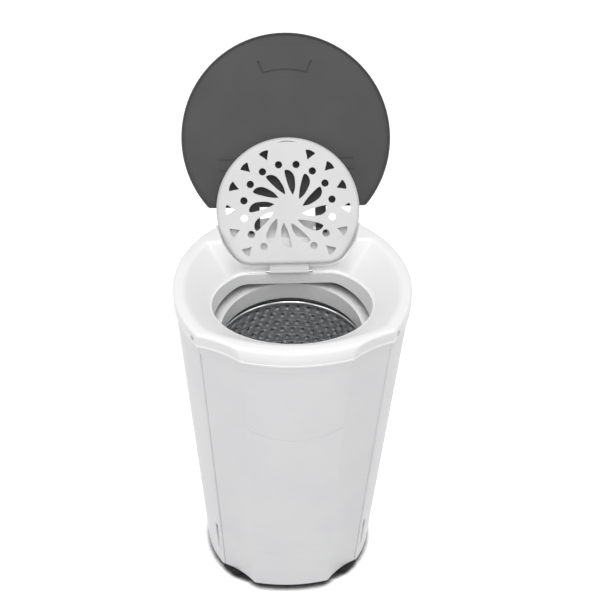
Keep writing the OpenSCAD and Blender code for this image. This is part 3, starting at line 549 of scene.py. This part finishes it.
def outlineReach(angle, z, inset=0):
    radius = taper(lowHollow[0], highHollow[0], z) + inset
    axis = taper(lowHollow[1], highHollow[1], z)
    return min(taper(casing["sideLow"], casing["sideHigh"], z) - inset,
               frontReach(angle, taper(casing["frontLow"], casing["frontHigh"], z) - inset),
               reach(abs(angle), axis, radius, True))


# The same to a disc with a straight back and rounded back corners
def plateReach(angle, radius, back, corner):
    high = back - corner
    side = math.sqrt((radius - corner) ** 2 - high ** 2)
    turn = abs(angle)
    if turn <= math.atan2(side, -high):
        return radius
    if turn >= math.atan2(side, -back):
        return back / -math.cos(turn)
    return reach(turn, Vector((side, high)), corner)


# The plan of such a disc
def platePlan(radius, back, corner, count=180):
    angles = [math.radians(-180 + 360 * i / count) for i in range(count)]
    return [(plateReach(a, radius, back, corner) * math.sin(a),
             -plateReach(a, radius, back, corner) * math.cos(a)) for a in angles]


softCopy("frontShell", "front_shell", 0.7, "panel")
softCopy("rearShell", "rear_shell", 0.7, "casing")
print("casing made")

# The deck: a rolled rim, a soft ridge, a bowl and a lip round the tilted mouth
deck = {
    "samples": 720,
    "skirt": [(649, -1), (652.6, -1), (653.3, -0.7), (653.7, 0), (656, 0), (662, 0), (668, 0),
              (673, 0), (675.4, 0.3), (677.3, 1.2), (678.7, 2.7), (679.6, 4.6), (680, 6.6)],
    "lean": 6, "shoulder": 662, "leanSoft": 3,
    "ridge": (194, 121.5, 12), "frontRim": 27, "rimBlend": 5, "ridgeSoft": 7,
    "mouth": (145, 113, 40), "mouthHigh": 634, "tilt": 13.7,
    "lip": [(6.2, 1.6), (5.4, 1.0), (5.0, 0.3), (4.7, 0), (3.2, 0), (1.8, 0), (0.9, -0.25),
            (0.25, -0.9), (0, -1.8)],
    "underLip": (-4, -2),
    "wallLow": 582, "wall": 2.8, "inner": [(677.2, 6), (673, 3), (660, 2.5), (649, 2.5)],
    "screws": (-148, -58, 58, 148), "screwHigh": 662, "screwHole": 4.7, "screwCut": (-1.6, 6),
    "bay": (133, 102, 42), "bayGrow": 5.85, "bayLow": -1.25, "bayHigh": 90,
    "well": (97.85, 147.15, 658.15), "wellBack": 400, "wellHigh": 700, "hingeEdge": 0.8,
}
innerHinge = Matrix.Translation((0, 0.107, 0.617)) @ Matrix.Rotation(math.radians(48), 4, "X")
innerCentre = 116


def mouthReach(angle, grow):
    radius, back, corner = deck["mouth"]
    squeeze = math.cos(math.radians(deck["tilt"]))
    side, depth = math.sin(angle), math.cos(angle)
    found = plateReach(math.atan2(side, depth / squeeze), radius + grow, back / squeeze + grow,
                       corner)
    return found / math.hypot(side, depth / squeeze)


# The deck's closed section at an angle from the front, as radius and height
def deckSection(angle):
    frontHigh = taper(casing["frontLow"], casing["frontHigh"], casing["high"])
    shoulderFront = taper(casing["frontLow"], casing["frontHigh"], deck["shoulder"])
    lean = (shoulderFront - frontHigh + deck["lean"]) / (casing["high"] - deck["shoulder"])

    def outer(z, inset):
        found = outlineReach(angle, z, inset)
        if z < deck["shoulder"]:
            return found
        leaning = frontReach(angle, shoulderFront - lean * (z - deck["shoulder"]) - inset)
        return softMin(found, leaning, deck["leanSoft"])

    def mouth(grow, lift):
        radius = mouthReach(angle, grow)
        y = -math.cos(angle) * radius
        return radius, deck["mouthHigh"] - y * math.tan(math.radians(deck["tilt"])) + lift

    ridge = softMin(plateReach(angle, *deck["ridge"]),
                    frontReach(angle, frontHigh - deck["frontRim"]), deck["rimBlend"])
    start = Vector((ridge + deck["ridgeSoft"], casing["high"]))
    top = Vector((ridge, casing["high"]))
    lipTop = Vector(mouth(*deck["lip"][0]))
    end = top + (lipTop - top).normalized() * min(deck["ridgeSoft"], (lipTop - top).length * 0.6)
    section = [(outer(z, inset), z) for z, inset in deck["skirt"]]
    section += [tuple(start * (1 - t) ** 2 + 2 * top * t * (1 - t) + end * t * t)
                for t in (0, 0.2, 0.4, 0.6, 0.8, 1)]
    section += [tuple(end.lerp(lipTop, t)) for t in (0.25, 0.5, 0.75)]
    section += [mouth(*step) for step in deck["lip"]]
    wall = deck["wall"]
    section += [(mouthReach(angle, 0), deck["wallLow"]), (mouthReach(angle, wall), deck["wallLow"]),
                mouth(wall, deck["underLip"][0]),
                mouth(deck["lip"][0][0] + wall, deck["underLip"][1]),
                (ridge + wall, casing["high"] - wall)]
    section += [(outer(z, inset), z) for z, inset in deck["inner"]]
    return section


def makeDeck():
    count = deck["samples"]
    angles = [math.radians(-180 + 360 * i / count) for i in range(count)]
    sections = [deckSection(a) for a in angles]
    rows = len(sections[0])
    points = [(r * math.sin(a), -r * math.cos(a), z)
              for a, section in zip(angles, sections) for r, z in section]
    faces = [(i * rows + j, (i + 1) % count * rows + j, (i + 1) % count * rows + (j + 1) % rows,
              i * rows + (j + 1) % rows) for i in range(count) for j in range(rows)]
    piece = meshPiece("topDeck", points, faces)

    radius, back, corner = deck["bay"]
    grow = deck["bayGrow"]
    bayPlan = [(-x, innerCentre - y) for x, y in platePlan(radius + grow, back + grow, corner)]
    half, front, floorHigh = deck["well"]
    back = deck["wellBack"]
    wellPlan = [(-half, front), (half, front), (half, back), (-half, back)]
    hinges = cleanCopy("hingeBay", "top_deck")
    softenEdges(hinges, deck["hingeEdge"])
    away = prism(bayPlan, deck["bayLow"] - grow, deck["bayHigh"], innerHinge)
    cutBy(away, [prism(wellPlan, floorHigh, deck["wellHigh"])], "UNION")
    keep = bpy.data.objects.new("keep", away.data.copy())
    bpy.context.scene.collection.objects.link(keep)
    cutBy(piece, [away])
    cutBy(hinges, [keep], "INTERSECT")
    for turn in deck["screws"]:
        angle = math.radians(turn)
        skirt = outlineReach(angle, deck["screwHigh"])
        place = (Matrix.Rotation(angle, 4, "Z")
                 @ Matrix.Translation((0, -skirt * mm, deck["screwHigh"] * mm))
                 @ Matrix.Rotation(math.pi / 2, 4, "X"))
        cutBy(piece, [prism(circlePlan(deck["screwHole"], 32), *deck["screwCut"], place)])
    joinTo(piece, [hinges])
    return finishPiece(piece, "top_deck", "deck", 32)


makeDeck()
softCopy("splashRing", "splash_ring", 0.6, "ring")
print("deck made")

# The basket's wall, drawn into rows of staggered dimples with a hole in each
basket = {
    "rows": 18, "columns": 46, "low": 162.9, "high": 501.3,
    "radiusLow": 138, "radiusHigh": 146, "zLow": 158, "zHigh": 510,
    "hole": 3.6, "shoulder": 6.6, "sheet": 1.2, "overlap": 0.4,
    "depths": {"hole": 2.4, "shoulder": 0.7, "side": -0.9, "corner": -1.4},
    # the cell's corners and the middles of its sides, in half cells
    "cell": ((1, 0), (1, 1), (0, 1), (-1, 1), (-1, 0), (-1, -1), (0, -1), (1, -1)),
}


# Eight points round a dimple, as across, up and depth
def dimpleRing(radius, depth):
    turns = [k * math.pi / 4 for k in range(8)]
    return [(radius * math.cos(t), radius * math.sin(t), depth) for t in turns]


def makeBasket():
    step = math.tau / basket["columns"]
    tall = (basket["high"] - basket["low"]) / basket["rows"]
    depths = basket["depths"]
    points, faces = [], []
    for row in range(basket["rows"]):
        z = basket["low"] + (row + 0.5) * tall
        for column in range(basket["columns"]):
            middle = (column + 0.5 * (row % 2)) * step
            first = len(points)
            wide = step * basket["radiusHigh"]
            loops = [dimpleRing(basket["hole"], depths["hole"]),
                     dimpleRing(basket["shoulder"], depths["shoulder"]),
                     [(sx * wide / 2, sz * tall / 2, depths["corner"] if sz else depths["side"])
                      for sx, sz in basket["cell"]]]
            for across, up, depth in loops[0] + loops[1] + loops[2]:
                share = (z + up - basket["zLow"]) / (basket["zHigh"] - basket["zLow"])
                radius = basket["radiusLow"] + (basket["radiusHigh"] - basket["radiusLow"]) * share
                # the wall's first and last edges stay plain, to meet the floor and the top
                if 0.5 < abs(z + up - basket["low"]) and 0.5 < abs(z + up - basket["high"]):
                    radius += depth
                angle = middle + across / basket["radiusHigh"]
                points.append((radius * math.cos(angle), radius * math.sin(angle), z + up))
            for inner in (first, first + 8):
                faces += [(inner + k, inner + (k + 1) % 8, inner + 8 + (k + 1) % 8, inner + 8 + k)
                          for k in range(8)]
    wall = meshPiece("basketWall", points, faces)
    applyModifier(wall, "SOLIDIFY", thickness=basket["sheet"] * mm, offset=-1)
    floor = cleanCopy("basketFloor", "basket")
    keepSide(floor, (0, 0, basket["low"] + basket["overlap"]), (0, 0, 1))
    top = cleanCopy("basketTop", "basket")
    keepSide(top, (0, 0, basket["high"] - basket["overlap"]), (0, 0, 1), front=True)
    joinTo(wall, [floor, top])
    return finishPiece(wall, "basket", "basket", 60)


makeBasket()
softCopy("basketRim", "basket_rim", 0, "rim")
print("basket made")

# The inner lid: a dished sheet with a rounded border, on a flap with the hinge barrel
innerLid = {
    "plan": (133, 102, 42), "flap": 14.2, "samples": 240, "edge": 0.5,
    "high": 10.25, "low": -1.25, "border": 6.5, "sheet": 2.5, "lipEdge": (0.4, 0.5), "cut": (4, 14),
    "slot": [(-18.5, 238.6), (-9, 241.4), (0, 242.2), (9, 241.4), (18.5, 238.6), (9, 240.2),
             (0, 240.9), (-9, 240.2)],
    # one petal, as its turn from straight up and its distance from the centre in lid radii
    "petal": [(-4.3, 0.533), (3.5, 0.533), (10.7, 0.477), (15.6, 0.386), (19.8, 0.293),
              (19.7, 0.203), (7, 0.261), (-1.2, 0.371)],
    "petals": 12, "dotRing": 0.627, "dot": 0.051, "dots": 16, "noDots": (7, 8),
    "wedges": (-135, -112.5, -90, -67.5, -45, -22.5, 22.5, 45, 67.5, 90, 112.5, 135),
    "wedge": [(0, 0.736), (-2.6, 0.8), (-4.6, 0.856), (-2.4, 0.87), (0, 0.874), (2.4, 0.87),
              (4.6, 0.856), (2.6, 0.8)],
}


# A closed curve through turn and distance pairs, turned about the lid's centre
def curvedHole(points, turn, samples, sharpEnd):
    radius = innerLid["plan"][0]
    knots = []
    for degrees, share in points:
        a = math.radians(degrees)
        knots.append(Vector((radius * share * math.sin(a), radius * share * math.cos(a))))
    count = len(knots)
    plan = []
    for i in range(count):
        before, start, end, after = (knots[(i + k - 1) % count] for k in range(4))
        out = Vector((0, 0)) if sharpEnd == i else (end - before) / 2
        into = Vector((0, 0)) if sharpEnd == (i + 1) % count else (after - start) / 2
        for j in range(samples):
            t = j / samples
            plan.append(start * (2 * t ** 3 - 3 * t ** 2 + 1) + out * (t ** 3 - 2 * t ** 2 + t)
                        + end * (3 * t ** 2 - 2 * t ** 3) + into * (t ** 3 - t ** 2))
    angle = math.radians(-turn)
    return [(p.x * math.cos(angle) - p.y * math.sin(angle),
             p.x * math.sin(angle) + p.y * math.cos(angle) + innerCentre) for p in plan]


def makeInnerLid():
    radius, back, corner = innerLid["plan"]
    border, sheet, low = innerLid["border"], innerLid["sheet"], innerLid["low"]
    inside = border - sheet
    base = innerLid["high"] - border
    inward, upward = innerLid["lipEdge"]
    arcs = [math.radians(90 * i / 6) for i in range(7)]
    section = [(border * math.sin(t) - border, base + border * math.cos(t)) for t in arcs]
    section += [(0, low + upward), (-inward, low), (-sheet + inward, low), (-sheet, low + upward)]
    section += [(inside * math.sin(t) - border, base + inside * math.cos(t))
                for t in reversed(arcs)]
    count = innerLid["samples"]
    angles = [math.radians(-180 + 360 * i / count) for i in range(count)]
    points = []
    for a in angles:
        for grow, z in section:
            found = plateReach(a, radius + grow, back + grow, corner + grow)
            points.append((-found * math.sin(a), innerCentre + found * math.cos(a), z))
    rows = len(section)
    faces = [(i * rows + j, (i + 1) % count * rows + j, (i + 1) % count * rows + j + 1,
              i * rows + j + 1) for i in range(count) for j in range(rows - 1)]
    faces += [tuple(i * rows + end for i in range(count)) for end in (0, rows - 1)]
    plate = meshPiece("innerLid", points, faces)

    plans = [curvedHole(innerLid["petal"], i * 360 / innerLid["petals"], samples=4, sharpEnd=5)
             for i in range(innerLid["petals"])]
    plans += [curvedHole(innerLid["wedge"], turn, samples=3, sharpEnd=0)
              for turn in innerLid["wedges"]]
    ring, size = radius * innerLid["dotRing"], radius * innerLid["dot"]
    for i in range(innerLid["dots"]):
        if i not in innerLid["noDots"]:
            turn = math.radians((i + 0.5) * 360 / innerLid["dots"])
            plans.append(circlePlan(size, 28, ring * math.sin(turn),
                                    ring * math.cos(turn) + innerCentre))
    plans.append(innerLid["slot"])
    holes = [prism(plan, *innerLid["cut"]) for plan in plans]
    joinTo(holes[0], holes[1:])
    cutBy(plate, [holes[0]])
    softenEdges(plate, innerLid["edge"], 50)

    flap = cleanCopy("innerFlap", "inner_lid")
    flap.data.transform(innerHinge.inverted())
    keepSide(flap, (0, innerLid["flap"], 0), (0, 1, 0))
    joinTo(plate, [flap])
    plate.data.transform(innerHinge)
    return finishPiece(plate, "inner_lid", "innerLid", 35)


makeInnerLid()

# The outer lid: a plate with a skirt, hinge arms, ribs and the groove of its finger pocket
outerLid = {
    "patch": (62, 284, 345), "sheet": (-20.5, -17.5), "edge": 0.9, "past": (10, 15),
    "groove": [(-49.4, 314), (-40.7, 292.6), (-20, 297), (0, 298.7), (20, 297), (40.7, 292.6),
               (49.4, 314)],
    "grooveWide": 3.2, "grooveDeep": 2.4, "grooveTip": 0.6, "grooveHigh": 5,
}
outerHinge = Matrix.Translation((0, 0.167, 0.669)) @ Matrix.Rotation(math.radians(50), 4, "X")


def makeOuterLid():
    lid = cleanCopy("outerLid", "outer_lid")
    lid.data.transform(outerHinge.inverted())
    half, low, high = outerLid["patch"]
    under, top = outerLid["sheet"]
    patchPlan = [(-half, low), (half, low), (half, high), (-half, high)]
    cutBy(lid, [prism(patchPlan, under - outerLid["past"][0], top + outerLid["past"][1])])
    softenEdges(lid, outerLid["edge"], 40)
    patch = prism(patchPlan, under, top)
    line = outerLid["groove"]
    for (x0, y0), (x1, y1) in zip(line, line[1:]):
        along = Vector((x1 - x0, y1 - y0)).normalized()
        side = Vector((-along.y, along.x)) * outerLid["grooveWide"] / 2
        tip = along * outerLid["grooveTip"]
        plan = [(x0 - tip.x + side.x, y0 - tip.y + side.y),
                (x0 - tip.x - side.x, y0 - tip.y - side.y),
                (x1 + tip.x - side.x, y1 + tip.y - side.y),
                (x1 + tip.x + side.x, y1 + tip.y + side.y)]
        cutBy(patch, [prism(plan, top - outerLid["grooveDeep"], top + outerLid["grooveHigh"])])
    joinTo(lid, [patch])
    lid.data.transform(outerHinge)
    return finishPiece(lid, "outer_lid", "outerLid", 35)


makeOuterLid()
print("lids made")

light = {
    "skyStrength": 0.4,
    "overhead": {"place": (0.0, -0.5, 3.4), "size": 1.4, "watts": 21},
    "front": {"place": (-0.1, -1.7, 3.1), "size": 1.2, "watts": 20},
    "left": {"place": (-2.3, -1.7, 1.8), "size": 1.6, "watts": 21},
    "right": {"place": (2.3, -1.6, 1.8), "size": 1.6, "watts": 16},
    "floor": "#c4c4c4", "floorLift": 0.85,
    # The tight shadow below is painted into the floor by an occlusion mask
    "contact": 0.022,  # reach of the tight shadow under the casing, in m
    "openness": (0.7, 0.86),  # share of open sky at which that shadow is full, and at which it ends
    "darkest": 0.02,
}


def makeFloor():
    bpy.ops.mesh.primitive_plane_add(size=30, location=(0, 0, 0))
    floor = bpy.context.object
    floor.name = "floor"
    made = bpy.data.materials.new("paleFloor")
    made.use_nodes = True
    tree = made.node_tree
    shader = tree.nodes["Principled BSDF"]
    shader.inputs["Roughness"].default_value = 0.6
    # Painted contact shadow: an occlusion mask darkens the floor's base and its glow under and
    # beside the casing
    near = addNode(tree, "ShaderNodeAmbientOcclusion", (-1100, 0), {"Distance": light["contact"]},
                   None, samples=12)
    full, gone = light["openness"]
    clear = addNode(tree, "ShaderNodeMapRange", (-900, 0),
                    {"From Min": full, "From Max": gone, "To Min": light["darkest"], "To Max": 1.0},
                    {"Value": near.outputs["AO"]})
    shade = addNode(tree, "ShaderNodeValToRGB", (-650, 0), None, {"Fac": clear.outputs["Result"]})
    shade.color_ramp.elements[1].color = linear(light["floor"])
    tree.links.new(shade.outputs["Color"], shader.inputs["Base Color"])
    path = addNode(tree, "ShaderNodeLightPath", (-700, -200))
    seen = addNode(tree, "ShaderNodeMath", (-450, -200), None,
                   {0: path.outputs["Is Camera Ray"], 1: path.outputs["Is Glossy Ray"]},
                   operation="MAXIMUM")
    clearSeen = addNode(tree, "ShaderNodeMath", (-350, -300), None,
                        {0: seen.outputs["Value"], 1: clear.outputs["Result"]},
                        operation="MULTIPLY")
    lift = addNode(tree, "ShaderNodeMath", (-250, -200), {1: light["floorLift"]},
                   {0: clearSeen.outputs["Value"]}, operation="MULTIPLY")
    glow = addNode(tree, "ShaderNodeEmission", (0, -200), {"Color": (1, 1, 1, 1)},
                   {"Strength": lift.outputs["Value"]})
    total = addNode(tree, "ShaderNodeAddShader", (250, 0), None,
                    {0: shader.outputs["BSDF"], 1: glow.outputs["Emission"]})
    tree.links.new(total.outputs["Shader"], tree.nodes["Material Output"].inputs["Surface"])
    floor.data.materials.append(made)


def makeWorld():
    sky = bpy.data.worlds.new("studio")
    sky.use_nodes = True
    tree = sky.node_tree
    ambient = tree.nodes["Background"]
    ambient.inputs["Color"].default_value = (1, 1, 1, 1)
    ambient.inputs["Strength"].default_value = light["skyStrength"]
    white = addNode(tree, "ShaderNodeBackground", (0, -200),
                    {"Color": (1, 1, 1, 1), "Strength": 1.0})
    path = addNode(tree, "ShaderNodeLightPath", (-600, 200))
    seen = addNode(tree, "ShaderNodeMath", (-400, 200), None,
                   {0: path.outputs["Is Camera Ray"], 1: path.outputs["Is Glossy Ray"]},
                   operation="MAXIMUM")
    clear = addNode(tree, "ShaderNodeMath", (-200, 200), None,
                    {0: seen.outputs["Value"], 1: path.outputs["Is Transmission Ray"]},
                    operation="MAXIMUM")
    mix = addNode(tree, "ShaderNodeMixShader", (200, 0), None,
                  {0: clear.outputs["Value"], 1: ambient.outputs["Background"],
                   2: white.outputs["Background"]})
    tree.links.new(mix.outputs["Shader"], tree.nodes["World Output"].inputs["Surface"])
    bpy.context.scene.world = sky


def makeLamp(name, spec):
    bpy.ops.object.light_add(type="AREA", location=spec["place"])
    lamp = bpy.context.object
    lamp.name = name
    lamp.data.size = spec["size"]
    lamp.data.energy = spec["watts"]
    aim = Vector((0, 0, 0.5)) - Vector(spec["place"])
    lamp.rotation_euler = aim.to_track_quat("-Z", "Y").to_euler()


makeFloor()
makeWorld()
for lampName in ("overhead", "front", "left", "right"):
    makeLamp(lampName, light[lampName])
bpy.context.scene.view_settings.view_transform = "Standard"
print("studio made")
